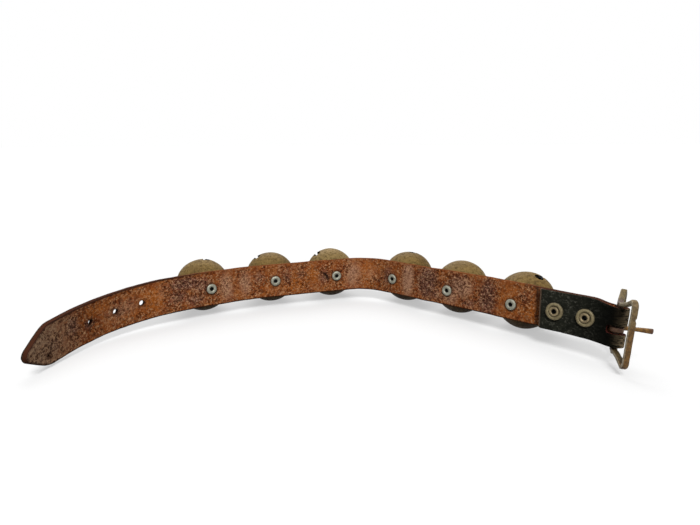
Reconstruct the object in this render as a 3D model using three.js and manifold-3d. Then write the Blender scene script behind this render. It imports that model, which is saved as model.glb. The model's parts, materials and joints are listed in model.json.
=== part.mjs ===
// A leather strap of sleigh bells, standing on its bells, with a pointed tip and a buckle.
// Millimetres and degrees. X runs along the strap, Y away from its flesh side, Z up.
import * as THREE from 'three';
import { mergeVertices } from 'three/addons/utils/BufferGeometryUtils.js';
import Module from 'manifold-3d';

const wasm = await Module();
wasm.setup();

// Clearances
const SEAT_GAP = 0.3;          // between pieces that rest on each other
const TURN_CLEARANCE = 0.4;    // round a shank or bar that turns
const TUNNEL_CLEARANCE = 1.3;  // round the buckle's bar in the leather fold
const CUT_MARGIN = 2;          // how far a cutting tool passes the faces that it cuts

// Leather strap
const STRAP_WIDTH = 26.3;
const STRAP_THICKNESS = 3.8;
const STRAP_BEVEL = 0.6;
const TIP_LENGTH = 17;
const TIP_SHOULDER = 4.5;      // half length of the soft bend from the point to the straight edges
const TIP_NOSE_RADIUS = 5;
const FOLD_WIDTH = 25.4;       // the leather is trimmed where it lies double,
const TURN_WIDTH = 24;         // narrower still where it goes round the buckle's bar,
const FOLD_THICKNESS = 2.3;    // and thinned there
const TURN_SAG = 1.9;          // how far it has sunk there
const FOLD_EASE = 11;          // length over which the two layers close behind the bar
const FLAP_PAST_RIVET = 10.8;
const FLAP_SLANT = 5;          // how far from square the flap's end is cut

// Places along the strap, each from the one before
const TIP_TO_HOLE = 51.6;
const HOLE_PITCH = 19.05;
const HOLE_COUNT = 3;
const HOLE_TO_BELL = 50.8;
const BELL_PITCH = 50.8;
const BELL_TO_FOLD_RIVET = 32;
const FOLD_RIVET_PITCH = 19.05;
const FOLD_RIVET_COUNT = 2;
const FOLD_RIVET_TO_BAR = 17;

// Holes in the strap
const HOLE_DIAMETER = 4.3;
const PIN_HOLE_DIAMETER = 1.8;
const PIN_HOLE_FROM_TIP = 17;
const PIN_HOLE_DROP = 6.5;     // below the strap's middle line
const SLOT_WIDTH = 5;
const SLOT_BEHIND_BAR = 4.4;
const SLOT_CORNER_RADIUS = 1.5;
const SLOT_DROP = 1.6;         // below the strap's middle line

// The course that the strap lies in, seen from above: bends by the tip, then straight under each
// bell's seat with a bend from each bell to the next
const START_HEADING = 83.8;
const TIP_BENDS = [
  { length: 42, turn: -12 },
  { length: 66, turn: -39.3 },
];
const BELL_TURNS = [-13.5, -2.9, -58.3, 1.4, -3.7];
// How far the strap's top edge leans away at the tip, the bells and the buckle
const TIP_LEAN = -4.9;
const BELL_LEAN = 4.4;
const BUCKLE_LEAN = 7.6;
const FALL_ROUNDING = 15;      // half length of the soft bend where the strap starts to fall to its tip
const CLIMB = 0.014;           // rise per length towards the buckle, while the bells stay on the ground
const CLIMB_START = 215;       // from the tip
const CLIMB_ROUNDING = 40;

// Bells
const BELL_DIAMETER = 40.8;
const BELL_WALL = 1.8;
const BELL_SEAT_DIAMETER = 21;
const SLIT_WIDTH = 2.6;
const SLIT_END_DIAMETER = 6.4;
// How far each bell is turned on its rivet, and the angle from its front to its slit's end holes
const SLITS = [
  { turn: 11, reach: 93 },
  { turn: -31, reach: 90 },
  { turn: -34, reach: 92 },
  { turn: 4, reach: 85 },
  { turn: 90, reach: 85 },
  { turn: 25, reach: 93 },
];
const PELLET_DIAMETER = 9;
const PELLET_CLEARANCE = 0.8;  // from the pellet to the bell's round inside

// Bell rivets: a flat head inside the bell, a tubular end rolled over on the leather
const RIVET_SHANK_DIAMETER = 4.2;
const RIVET_HEAD_DIAMETER = 9;
const RIVET_HEAD_HEIGHT = 1.4;
const RIVET_HEAD_BEVEL = 0.7;
const RIVET_ROLL_DIAMETER = 7.8;
const RIVET_ROLL_HEIGHT = 1.1;
const RIVET_BORE_DIAMETER = 2.7;
const RIVET_BORE_DEPTH = 4.5;

// Fold rivets: a domed head on the grain side, a tubular end rolled into a dished washer
const FOLD_SHANK_DIAMETER = 3.8;
const FOLD_HEAD_DIAMETER = 11;
const FOLD_HEAD_HEIGHT = 1.8;
const FOLD_ROLL_DIAMETER = 6.2;
const FOLD_ROLL_HEIGHT = 0.9;
const FOLD_BORE_DIAMETER = 2.9;
const FOLD_BORE_DEPTH = 5;
const WASHER_DIAMETER = 11.2;
const WASHER_THICKNESS = 1.5;
const WASHER_DISH_DEPTH = 0.8;
const WASHER_BEVEL = 0.5;

// Buckle: a waisted frame, bent at its middle bar, and a tongue
const BUCKLE_OUTER_REACH = 19.2;   // from the bar to the middle of the outer side, along the band
const BUCKLE_HEEL_REACH = 17.5;
const BUCKLE_OUTER_HEIGHT = 40.6;
const BUCKLE_HEEL_HEIGHT = 41.4;
const BUCKLE_WAIST_HEIGHT = 30.6;  // at the bar
const BUCKLE_OUTER_CORNER = 3;
const BUCKLE_HEEL_CORNER = 5;
const BUCKLE_BEND = 14.7;          // of each half, to the grain side
const BUCKLE_BEND_LENGTH = 5;      // from the bar to where each half runs straight
const BUCKLE_BAND_WIDTH = 2.6;
const BUCKLE_BAND_THICKNESS = 3.4;
const BUCKLE_BEVEL = 0.8;
const BUCKLE_SWING = -64.8;        // from in line with the strap
const BUCKLE_TILT = 2.5;           // the outer side sags
const BAR_DIAMETER = 3.8;
const TONGUE_LENGTH = 19;
const TONGUE_ROOT_WIDTH = 3.3;
const TONGUE_WAIST_WIDTH = 2.4;
const TONGUE_TIP_WIDTH = 3.2;
const TONGUE_THICKNESS = 2;
const TONGUE_BEVEL = 0.5;
const TONGUE_WRAP = 240;           // how far the tongue's loop goes round the bar
const TONGUE_OPEN = 92.4;          // from in line with the frame
const TONGUE_DROP = 1.5;           // below the strap's middle line
const TONGUE_RISE = 1.4;           // from root to tip, along the bar

// Facets
const STRAP_STEP = 8;
const LEAST_STEP = 1;
const BEND_STEP = 5;               // degrees
const NOSE_STEPS = 4;
const EASE_STEPS = 5;
const FOLD_STEPS = 8;
const SLOT_CORNER_STEPS = 4;
const BELL_SEGMENTS = 24;
const BELL_RINGS = 9;
const BELL_INSIDE_SEGMENTS = 18;
const BELL_INSIDE_RINGS = 8;
const PELLET_SEGMENTS = 12;
const PELLET_RINGS = 8;
const RIVET_SEGMENTS = 14;
const ROLL_STEPS = 5;
const DOME_STEPS = 3;
const HOLE_SEGMENTS = 12;
const CORNER_STEPS = 5;
const RAIL_STEPS = 8;
const ARM_STEPS = 6;
const LOOP_STEPS = 10;

const { clamp, degToRad, lerp, smoothstep } = THREE.MathUtils;

// Places worked out from the sizes
const bellCount = SLITS.length;
const holeStation = (index) => TIP_TO_HOLE + index * HOLE_PITCH;
const bellStation = (index) => holeStation(HOLE_COUNT - 1) + HOLE_TO_BELL + index * BELL_PITCH;
const foldRivetStation = (index) =>
  bellStation(bellCount - 1) + BELL_TO_FOLD_RIVET + index * FOLD_RIVET_PITCH;
const turnStart = foldRivetStation(FOLD_RIVET_COUNT - 1);
const barStation = turnStart + FOLD_RIVET_TO_BAR;
const flapStation = foldRivetStation(0) - FLAP_PAST_RIVET;
const firstSeatStation = bellStation(0) - BELL_SEAT_DIAMETER / 2;
const lastSeatStation = bellStation(bellCount - 1) + BELL_SEAT_DIAMETER / 2;

const bellRadius = BELL_DIAMETER / 2;
const bellSeatDepth = Math.sqrt(bellRadius ** 2 - (BELL_SEAT_DIAMETER / 2) ** 2);
const bellSeatPlace = STRAP_THICKNESS + SEAT_GAP;
const bellCentrePlace = bellSeatPlace + bellSeatDepth;
const bellHeight = bellRadius + bellCentrePlace * Math.sin(degToRad(BELL_LEAN));
const tipHeight = (STRAP_WIDTH / 2) * Math.cos(degToRad(TIP_LEAN));

const flapPlace = -SEAT_GAP - STRAP_THICKNESS;
const barPlace = -SEAT_GAP / 2;
const tunnelRadius = BAR_DIAMETER / 2 + TUNNEL_CLEARANCE;

// A ramp that starts from nothing at zero, with its corner rounded over a length on either side
function softRamp(x, rounding) {
  if (x <= -rounding) return 0;
  if (x >= rounding) return x;
  return (x + rounding) ** 2 / (4 * rounding);
}

// The lengths of the course one after another, from the tip to the buckle's bar, each with its turn
function courseRuns() {
  const bent = TIP_BENDS.reduce((sum, { length }) => sum + length, 0);
  const runs = [...TIP_BENDS, { length: firstSeatStation - bent, turn: 0 }];
  for (const turn of BELL_TURNS) {
    runs.push({ length: BELL_SEAT_DIAMETER, turn: 0 });
    runs.push({ length: BELL_PITCH - BELL_SEAT_DIAMETER, turn });
  }
  const end = lastSeatStation - BELL_SEAT_DIAMETER;
  return [...runs, { length: barStation - end, turn: 0 }];
}

// The strap's place and heading in plan at a distance from its tip
function coursePoint(station) {
  const place = new THREE.Vector2();
  let heading = degToRad(START_HEADING);
  let left = station;
  for (const run of courseRuns()) {
    const length = Math.min(left, run.length);
    const half = (degToRad(run.turn) * length) / run.length / 2;
    const chord = half === 0 ? length : (length * Math.sin(half)) / half;
    place.x += chord * Math.cos(heading + half);
    place.y += chord * Math.sin(heading + half);
    heading += 2 * half;
    left -= length;
  }
  return { place, heading };
}

function climbAt(station) {
  return CLIMB * softRamp(station - CLIMB_START, CLIMB_ROUNDING);
}

function heightAt(station) {
  const fallStart = firstSeatStation - FALL_ROUNDING;
  const fall = (bellHeight - tipHeight) / fallStart;
  const sag = TURN_SAG * smoothstep(station, turnStart, barStation);
  return bellHeight - fall * softRamp(fallStart - station, FALL_ROUNDING) + climbAt(station) - sag;
}

function leanAt(station) {
  const tipToBells = smoothstep(station, 0, firstSeatStation);
  const bellsToBuckle = smoothstep(station, lastSeatStation, flapStation);
  const lean = lerp(lerp(TIP_LEAN, BELL_LEAN, tipToBells), BUCKLE_LEAN, bellsToBuckle);
  return degToRad(lean);
}

// The strap's own axes at a station: X along it, Y through it from the flesh side, Z across it
function strapFrame(station) {
  const { place, heading } = coursePoint(station);
  const frame = new THREE.Matrix4().makeTranslation(place.x, place.y, heightAt(station));
  frame.multiply(new THREE.Matrix4().makeRotationZ(heading));
  return frame.multiply(new THREE.Matrix4().makeRotationX(-leanAt(station)));
}

// A bell's axes: those of the strap, moved down it so that the bell stands on the ground
function bellFrame(index) {
  const station = bellStation(index);
  const drop = climbAt(station) / Math.cos(leanAt(station));
  return strapFrame(station).multiply(new THREE.Matrix4().makeTranslation(0, 0, -drop));
}

// A closed solid from a geometry, with its vertices shared and its faces pointing out
function toSolid(geometry) {
  const bare = geometry.clone();
  for (const name of Object.keys(bare.attributes)) {
    if (name !== 'position') bare.deleteAttribute(name);
  }
  const merged = mergeVertices(bare, 1e-4);
  const place = merged.getAttribute('position');
  const triangles = [];
  let volume = 0;
  for (let i = 0; i < merged.index.count; i += 3) {
    const corner = [0, 1, 2].map((k) => merged.index.getX(i + k));
    if (new Set(corner).size < 3) continue;
    triangles.push(corner);
    const [a, b, c] = corner.map((k) => new THREE.Vector3().fromBufferAttribute(place, k));
    volume += a.dot(b.cross(c));
  }
  if (volume < 0) triangles.forEach((corner) => corner.reverse());
  const mesh = new wasm.Mesh({
    numProp: 3,
    vertProperties: new Float32Array(place.array),
    triVerts: new Uint32Array(triangles.flat()),
  });
  return new wasm.Manifold(mesh);
}

function toGeometry(solid) {
  const mesh = solid.getMesh();
  const geometry = new THREE.BufferGeometry();
  geometry.setAttribute('position', new THREE.BufferAttribute(mesh.vertProperties, 3));
  geometry.setIndex(new THREE.BufferAttribute(mesh.triVerts, 1));
  geometry.computeVertexNormals();
  return geometry;
}

// A solid swept through bevelled rectangles: each section has a centre, two half axes and a bevel
function loft(sections, closed) {
  const points = [];
  for (const { centre, across, through, bevel } of sections) {
    const a = across.length();
    const b = through.length();
    const outline = [
      [a, b - bevel], [a - bevel, b], [bevel - a, b], [-a, b - bevel],
      [-a, bevel - b], [bevel - a, -b], [a - bevel, -b], [a, bevel - b],
    ];
    for (const [x, y] of outline) {
      points.push(centre.clone().addScaledVector(across, x / a).addScaledVector(through, y / b));
    }
  }
  const sides = 8;
  const count = sections.length;
  const index = [];
  for (let i = 0; i < (closed ? count : count - 1); i++) {
    const here = i * sides;
    const next = ((i + 1) % count) * sides;
    for (let k = 0; k < sides; k++) {
      const turn = (k + 1) % sides;
      index.push(here + k, next + k, next + turn, here + k, next + turn, here + turn);
    }
  }
  if (!closed) {
    const last = (count - 1) * sides;
    for (let k = 1; k < sides - 1; k++) {
      index.push(0, k, k + 1, last, last + k + 1, last + k);
    }
  }
  const geometry = new THREE.BufferGeometry().setFromPoints(points);
  geometry.setIndex(index);
  return geometry;
}

function lathe(outline, segments) {
  return new THREE.LatheGeometry(outline.map(([r, y]) => new THREE.Vector2(r, y)), segments);
}

// A round cutting tool along Y, from one place to another
function drill(diameter, from, to, frame) {
  const tool = new THREE.CylinderGeometry(diameter / 2, diameter / 2, to - from, HOLE_SEGMENTS);
  tool.translate(0, (from + to) / 2, 0);
  return toSolid(tool.applyMatrix4(frame));
}

// Half the strap's width at a distance from its tip: a round nose, straight to its soft shoulders,
// and trimmed in two steps towards the buckle
function halfWidthAt(station) {
  const half = STRAP_WIDTH / 2;
  const nose = TIP_NOSE_RADIUS;
  const reach = TIP_LENGTH - nose;
  const slope = Math.atan2(half, reach) - Math.asin(nose / Math.hypot(half, reach));
  if (station < nose * (1 - Math.sin(slope))) return Math.sqrt(nose ** 2 - (nose - station) ** 2);
  const shoulder = Math.tan(slope) * softRamp(TIP_LENGTH - station, TIP_SHOULDER);
  const fold = lerp(half, FOLD_WIDTH / 2, smoothstep(station, lastSeatStation, flapStation));
  return lerp(fold, TURN_WIDTH / 2, smoothstep(station, turnStart, barStation)) - shoulder;
}

// Stations along the strap's length, closer together at the nose and in the bends
function strapStations() {
  const shoulderEnd = TIP_LENGTH + TIP_SHOULDER;
  const marks = new Set([TIP_LENGTH - TIP_SHOULDER, TIP_LENGTH, shoulderEnd, flapStation, barStation]);
  const noseTurn = Math.PI / 2 / (NOSE_STEPS + 1);
  for (let i = 1; i <= NOSE_STEPS; i++) marks.add(TIP_NOSE_RADIUS * (1 - Math.cos(i * noseTurn)));
  let start = 0;
  for (const { length, turn } of courseRuns()) {
    const steps = Math.ceil(Math.max(length / STRAP_STEP, Math.abs(turn) / BEND_STEP));
    for (let i = 0; i < steps; i++) marks.add(start + (i * length) / steps);
    start += length;
  }
  for (let i = 1; i <= EASE_STEPS; i++) marks.add(barStation - (FOLD_EASE * i) / EASE_STEPS);
  marks.delete(0);
  const sorted = [...marks].sort((a, b) => a - b).filter((s) => s <= barStation);
  const last = sorted.length - 1;
  return sorted.filter((s, i) => s < TIP_LENGTH || i === last || sorted[i + 1] - s > LEAST_STEP);
}

// The strap: out along its course, round the buckle's bar and back over itself as a flap
function makeStrap() {
  const easeAt = (station) => smoothstep(station, barStation - FOLD_EASE, barStation);
  const bulge = tunnelRadius + barPlace;
  const path = [];
  const addSection = (frame, along, place, thickness, halfWidth, slant = 0) => {
    const across = new THREE.Vector3(-Math.sin(slant), 0, Math.cos(slant)).transformDirection(frame);
    path.push({
      centre: new THREE.Vector3(along, place, 0).applyMatrix4(frame),
      width: across.multiplyScalar(halfWidth / Math.cos(slant)),
      thickness,
    });
  };
  const stations = strapStations();
  for (const station of stations) {
    const ease = easeAt(station);
    const thickness = lerp(STRAP_THICKNESS, FOLD_THICKNESS, ease);
    const place = ease * bulge + thickness / 2;
    addSection(strapFrame(station), 0, place, thickness, halfWidthAt(station));
  }
  const barFrame = strapFrame(barStation);
  const turnRadius = tunnelRadius + FOLD_THICKNESS / 2;
  for (let i = 1; i < FOLD_STEPS; i++) {
    const angle = Math.PI / 2 - (Math.PI * i) / FOLD_STEPS;
    const place = barPlace + turnRadius * Math.sin(angle);
    addSection(barFrame, turnRadius * Math.cos(angle), place, FOLD_THICKNESS, TURN_WIDTH / 2);
  }
  for (const station of stations.filter((s) => s >= flapStation).reverse()) {
    const ease = easeAt(station);
    const thickness = lerp(STRAP_THICKNESS, FOLD_THICKNESS, ease);
    const place = -SEAT_GAP - ease * bulge - thickness / 2;
    const slant = station === flapStation ? degToRad(FLAP_SLANT) : 0;
    addSection(strapFrame(station), 0, place, thickness, halfWidthAt(station), slant);
  }
  const sections = path.map(({ centre, width, thickness }, i) => {
    const before = path[Math.max(i - 1, 0)].centre;
    const after = path[Math.min(i + 1, path.length - 1)].centre;
    const through = width.clone().cross(after.clone().sub(before)).setLength(thickness / 2);
    return { centre, across: width, through, bevel: Math.min(STRAP_BEVEL, width.length() / 2) };
  });
  let strap = toSolid(loft(sections, false));

  const front = STRAP_THICKNESS + CUT_MARGIN;
  for (let i = 0; i < HOLE_COUNT; i++) {
    strap = strap.subtract(drill(HOLE_DIAMETER, -CUT_MARGIN, front, strapFrame(holeStation(i))));
  }
  const pinFrame = strapFrame(PIN_HOLE_FROM_TIP);
  pinFrame.multiply(new THREE.Matrix4().makeTranslation(0, 0, -PIN_HOLE_DROP));
  strap = strap.subtract(drill(PIN_HOLE_DIAMETER, -CUT_MARGIN, front, pinFrame));
  for (let i = 0; i < bellCount; i++) {
    const diameter = RIVET_SHANK_DIAMETER + 2 * SEAT_GAP;
    strap = strap.subtract(drill(diameter, -CUT_MARGIN, front, bellFrame(i)));
  }
  for (let i = 0; i < FOLD_RIVET_COUNT; i++) {
    const diameter = FOLD_SHANK_DIAMETER + 2 * SEAT_GAP;
    const back = flapPlace - CUT_MARGIN;
    strap = strap.subtract(drill(diameter, back, front, strapFrame(foldRivetStation(i))));
  }
  return strap.subtract(slotTool(barFrame));
}

// The cutting tool for the tongue's slot, which runs round the fold
function slotTool(barFrame) {
  const foldRadius = tunnelRadius + FOLD_THICKNESS;
  const end = foldRadius + CUT_MARGIN;
  const half = SLOT_WIDTH / 2;
  const r = SLOT_CORNER_RADIUS;
  const shape = new THREE.Shape();
  shape.moveTo(end, -half);
  shape.lineTo(end, half);
  shape.lineTo(r - SLOT_BEHIND_BAR, half);
  shape.absarc(r - SLOT_BEHIND_BAR, half - r, r, Math.PI / 2, Math.PI, false);
  shape.absarc(r - SLOT_BEHIND_BAR, r - half, r, Math.PI, Math.PI * 1.5, false);
  const depth = 2 * (foldRadius + CUT_MARGIN);
  const options = { depth, bevelEnabled: false, curveSegments: SLOT_CORNER_STEPS };
  const tool = new THREE.ExtrudeGeometry(shape, options);
  tool.rotateX(Math.PI / 2);
  tool.translate(0, depth / 2 + barPlace, -SLOT_DROP);
  return toSolid(tool.applyMatrix4(barFrame));
}

// One bell: a thin globe with a flat seat, a rivet hole, and a slit with a round hole at each end
function makeBell(slitReach) {
  const globe = (radius, floor, segments, rings) => {
    const from = Math.acos(floor / radius);
    const outline = [[0, -floor]];
    for (let i = 0; i < rings; i++) {
      const angle = lerp(from, Math.PI, i / rings);
      outline.push([radius * Math.sin(angle), -radius * Math.cos(angle)]);
    }
    outline.push([0, radius]);
    return toSolid(lathe(outline, segments));
  };
  const inside = bellRadius - BELL_WALL;
  const floor = bellSeatDepth;
  let bell = globe(bellRadius, floor, BELL_SEGMENTS, BELL_RINGS);
  bell = bell.subtract(globe(inside, floor - BELL_WALL, BELL_INSIDE_SEGMENTS, BELL_INSIDE_RINGS));
  const still = new THREE.Matrix4();
  const boreDiameter = RIVET_SHANK_DIAMETER + 2 * TURN_CLEARANCE;
  bell = bell.subtract(drill(boreDiameter, -floor - CUT_MARGIN, -floor + BELL_WALL + CUT_MARGIN, still));

  const reach = degToRad(slitReach);
  const slitStart = bellRadius * Math.cos(reach);
  const slitEnd = bellRadius + CUT_MARGIN;
  const slit = new THREE.BoxGeometry(SLIT_WIDTH, slitEnd - slitStart, 2 * slitEnd);
  slit.translate(0, (slitStart + slitEnd) / 2, 0);
  bell = bell.subtract(toSolid(slit));
  for (const side of [1, -1]) {
    const turn = new THREE.Matrix4().makeRotationX(side * reach);
    bell = bell.subtract(drill(SLIT_END_DIAMETER, inside - CUT_MARGIN, slitEnd, turn));
  }
  return toGeometry(bell);
}

function makePellet() {
  const ball = new THREE.SphereGeometry(PELLET_DIAMETER / 2, PELLET_SEGMENTS, PELLET_RINGS);
  return toGeometry(toSolid(ball));
}

// The rolled end of a tubular rivet, from its bore out over the round roll to the underside at a place
function rolledEnd(place, { boreDiameter, boreDepth, rollDiameter, rollHeight }) {
  const bore = boreDiameter / 2;
  const middle = (boreDiameter + rollDiameter) / 4;
  const floor = place - rollHeight + boreDepth;
  const outline = [[0, floor], [bore, floor]];
  for (let i = 0; i <= ROLL_STEPS; i++) {
    const angle = (Math.PI * i) / ROLL_STEPS;
    outline.push([middle - (middle - bore) * Math.cos(angle), place - rollHeight * Math.sin(angle)]);
  }
  return outline;
}

function makeBellRivet() {
  const shank = RIVET_SHANK_DIAMETER / 2;
  const head = RIVET_HEAD_DIAMETER / 2;
  const headPlace = bellSeatPlace + BELL_WALL + SEAT_GAP;
  const top = headPlace + RIVET_HEAD_HEIGHT;
  const rolled = rolledEnd(-SEAT_GAP, {
    boreDiameter: RIVET_BORE_DIAMETER,
    boreDepth: RIVET_BORE_DEPTH,
    rollDiameter: RIVET_ROLL_DIAMETER,
    rollHeight: RIVET_ROLL_HEIGHT,
  });
  const outline = [
    ...rolled,
    [shank, -SEAT_GAP], [shank, headPlace], [head, headPlace],
    [head, top - RIVET_HEAD_BEVEL], [head - RIVET_HEAD_BEVEL, top], [0, top],
  ];
  return toGeometry(toSolid(lathe(outline, RIVET_SEGMENTS)));
}

const washerPlace = flapPlace - SEAT_GAP;
const dishPlace = washerPlace - WASHER_THICKNESS + WASHER_DISH_DEPTH;

function makeFoldWasher() {
  const rim = WASHER_DIAMETER / 2;
  const bore = FOLD_SHANK_DIAMETER / 2 + SEAT_GAP;
  const dish = FOLD_ROLL_DIAMETER / 2 + SEAT_GAP;
  const face = washerPlace - WASHER_THICKNESS;
  const outline = [
    [bore, washerPlace], [bore, dishPlace], [dish, dishPlace], [dish + WASHER_BEVEL, face],
    [rim - WASHER_BEVEL, face], [rim, face + WASHER_BEVEL], [rim, washerPlace], [bore, washerPlace],
  ];
  return toGeometry(toSolid(lathe(outline, RIVET_SEGMENTS)));
}

function makeFoldRivet() {
  const shank = FOLD_SHANK_DIAMETER / 2;
  const head = FOLD_HEAD_DIAMETER / 2;
  const under = dishPlace - SEAT_GAP;
  const headPlace = STRAP_THICKNESS + SEAT_GAP;
  const rolled = rolledEnd(under, {
    boreDiameter: FOLD_BORE_DIAMETER,
    boreDepth: FOLD_BORE_DEPTH,
    rollDiameter: FOLD_ROLL_DIAMETER,
    rollHeight: FOLD_ROLL_HEIGHT,
  });
  const outline = [...rolled, [shank, under], [shank, headPlace]];
  for (let i = 0; i < DOME_STEPS; i++) {
    const angle = ((Math.PI / 2) * i) / DOME_STEPS;
    outline.push([head * Math.cos(angle), headPlace + FOLD_HEAD_HEIGHT * Math.sin(angle)]);
  }
  outline.push([0, headPlace + FOLD_HEAD_HEIGHT]);
  return toGeometry(toSolid(lathe(outline, RIVET_SEGMENTS)));
}

// The buckle's frame: a band bent round a waisted oblong and again at the round bar across it.
// X points to the outer side, Y to the grain side, Z along the bar.
function makeBuckleFrame() {
  const outer = { corner: BUCKLE_OUTER_REACH - BUCKLE_OUTER_CORNER, radius: BUCKLE_OUTER_CORNER };
  outer.top = (BUCKLE_OUTER_HEIGHT - BUCKLE_BAND_WIDTH) / 2;
  const heel = { corner: BUCKLE_HEEL_CORNER - BUCKLE_HEEL_REACH, radius: BUCKLE_HEEL_CORNER };
  heel.top = (BUCKLE_HEEL_HEIGHT - BUCKLE_BAND_WIDTH) / 2;
  const waist = (BUCKLE_WAIST_HEIGHT - BUCKLE_BAND_WIDTH) / 2;
  const outline = [];
  const addCorner = (end, up, from) => {
    for (let i = 0; i <= CORNER_STEPS; i++) {
      const angle = degToRad(from + (90 * i) / CORNER_STEPS);
      const out = new THREE.Vector2(Math.cos(angle), Math.sin(angle));
      const z = up * (end.top - end.radius) + end.radius * out.y;
      outline.push({ x: end.corner + end.radius * out.x, z, out });
    }
  };
  const addRail = (from, to, up) => {
    for (let i = 1; i < RAIL_STEPS; i++) {
      const x = lerp(from.corner, to.corner, i / RAIL_STEPS);
      const end = x * from.corner > 0 ? from : to;
      const top = lerp(waist, end.top, (x / end.corner) ** 2);
      outline.push({ x, z: up * top, out: new THREE.Vector2(0, up) });
    }
  };
  addCorner(outer, 1, 0);
  addRail(outer, heel, 1);
  addCorner(heel, 1, 90);
  addCorner(heel, -1, 180);
  addRail(heel, outer, -1);
  addCorner(outer, -1, 270);

  const bendRadius = BUCKLE_BEND_LENGTH / degToRad(BUCKLE_BEND);
  const sections = outline.map(({ x, z, out }) => {
    const bent = clamp(x, -BUCKLE_BEND_LENGTH, BUCKLE_BEND_LENGTH);
    const angle = bent / bendRadius;
    const along = new THREE.Vector3(Math.cos(angle), Math.sin(angle), 0);
    const facing = new THREE.Vector3(-Math.sin(angle), Math.cos(angle), 0);
    const centre = new THREE.Vector3(bendRadius * Math.sin(angle), bendRadius * (1 - Math.cos(angle)), z);
    const across = new THREE.Vector3(0, 0, out.y).addScaledVector(along, out.x);
    return {
      centre: centre.addScaledVector(along, x - bent),
      across: across.setLength(BUCKLE_BAND_WIDTH / 2),
      through: facing.setLength(BUCKLE_BAND_THICKNESS / 2),
      bevel: BUCKLE_BEVEL,
    };
  });
  const bar = new THREE.CylinderGeometry(BAR_DIAMETER / 2, BAR_DIAMETER / 2, 2 * waist, HOLE_SEGMENTS);
  bar.rotateX(Math.PI / 2);
  return toGeometry(toSolid(loft(sections, true)).add(toSolid(bar)));
}

// The tongue: an arm whose root loops round the bar. X points along the arm, Z along the bar.
function makeTongue() {
  const loopRadius = BAR_DIAMETER / 2 + TURN_CLEARANCE + TONGUE_THICKNESS / 2;
  const path = [];
  const arm = new THREE.QuadraticBezierCurve(
    new THREE.Vector2(TONGUE_LENGTH, 0),
    new THREE.Vector2(TONGUE_LENGTH / 2, loopRadius),
    new THREE.Vector2(0, loopRadius),
  );
  for (let i = 0; i < ARM_STEPS; i++) {
    const share = i / ARM_STEPS;
    const width = share < 0.5
      ? lerp(TONGUE_TIP_WIDTH, TONGUE_WAIST_WIDTH, 2 * share)
      : lerp(TONGUE_WAIST_WIDTH, TONGUE_ROOT_WIDTH, 2 * share - 1);
    path.push({ point: arm.getPoint(share), width, rise: TONGUE_RISE * (1 - share) });
  }
  for (let i = 0; i <= LOOP_STEPS; i++) {
    const angle = degToRad(90 + (TONGUE_WRAP * i) / LOOP_STEPS);
    const point = new THREE.Vector2(Math.cos(angle), Math.sin(angle)).multiplyScalar(loopRadius);
    path.push({ point, width: TONGUE_ROOT_WIDTH, rise: 0 });
  }
  const sections = path.map(({ point, width, rise }, i) => {
    const before = path[Math.max(i - 1, 0)].point;
    const after = path[Math.min(i + 1, path.length - 1)].point;
    const run = after.clone().sub(before);
    return {
      centre: new THREE.Vector3(point.x, point.y, rise),
      across: new THREE.Vector3(0, 0, width / 2),
      through: new THREE.Vector3(run.y, -run.x, 0).setLength(TONGUE_THICKNESS / 2),
      bevel: TONGUE_BEVEL,
    };
  });
  return toGeometry(toSolid(loft(sections, false)));
}

const leather = new THREE.MeshStandardMaterial({ color: 0x7a4526, roughness: 0.85, metalness: 0 });
const agedBrass = new THREE.MeshStandardMaterial({ color: 0x7d6a3c, roughness: 0.6, metalness: 0.9 });
const greyMetal = new THREE.MeshStandardMaterial({ color: 0x8a8d83, roughness: 0.5, metalness: 0.9 });
const rivetBrass = new THREE.MeshStandardMaterial({ color: 0x9c8a58, roughness: 0.5, metalness: 0.9 });
const buckleMetal = new THREE.MeshStandardMaterial({ color: 0x7b6a48, roughness: 0.55, metalness: 0.9 });
const pelletSteel = new THREE.MeshStandardMaterial({ color: 0x6d6a66, roughness: 0.5, metalness: 0.9 });

function piece(name, geometry, material) {
  const mesh = new THREE.Mesh(geometry, material.clone());
  mesh.name = name;
  return mesh;
}

function groupAt(frame) {
  const group = new THREE.Group();
  group.applyMatrix4(frame);
  return group;
}

function addBells(part) {
  const pelletShape = makePellet();
  const rivetShape = makeBellRivet();
  const pelletDrop = bellRadius - BELL_WALL - PELLET_DIAMETER / 2 - PELLET_CLEARANCE;
  SLITS.forEach(({ turn, reach }, index) => {
    const number = index + 1;
    const group = groupAt(bellFrame(index));
    const shell = piece(`bell_shell_${number}`, makeBell(reach), agedBrass);
    shell.position.y = bellCentrePlace;
    shell.rotation.y = degToRad(turn);
    const pellet = piece(`bell_pellet_${number}`, pelletShape, pelletSteel);
    pellet.position.set(0, bellCentrePlace, -pelletDrop);
    group.add(shell, pellet, piece(`bell_rivet_${number}`, rivetShape, greyMetal));
    part.add(group);
  });
}

function addFoldRivets(part) {
  const rivetShape = makeFoldRivet();
  const washerShape = makeFoldWasher();
  for (let i = 0; i < FOLD_RIVET_COUNT; i++) {
    const group = groupAt(strapFrame(foldRivetStation(i)));
    group.add(piece(`fold_rivet_${i + 1}`, rivetShape, rivetBrass));
    group.add(piece(`fold_washer_${i + 1}`, washerShape, rivetBrass));
    part.add(group);
  }
}

function addBuckle(part) {
  const group = groupAt(strapFrame(barStation));
  const buckle = new THREE.Group();
  buckle.position.y = barPlace;
  buckle.rotation.set(0, degToRad(BUCKLE_TILT), degToRad(BUCKLE_SWING), 'ZYX');
  const frame = piece('buckle_frame', makeBuckleFrame(), buckleMetal);
  const tongue = piece('buckle_tongue', makeTongue(), buckleMetal);
  tongue.position.z = -TONGUE_DROP;
  tongue.rotation.z = degToRad(TONGUE_OPEN);
  buckle.add(frame, tongue);
  group.add(buckle);
  part.add(group);
}

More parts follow.
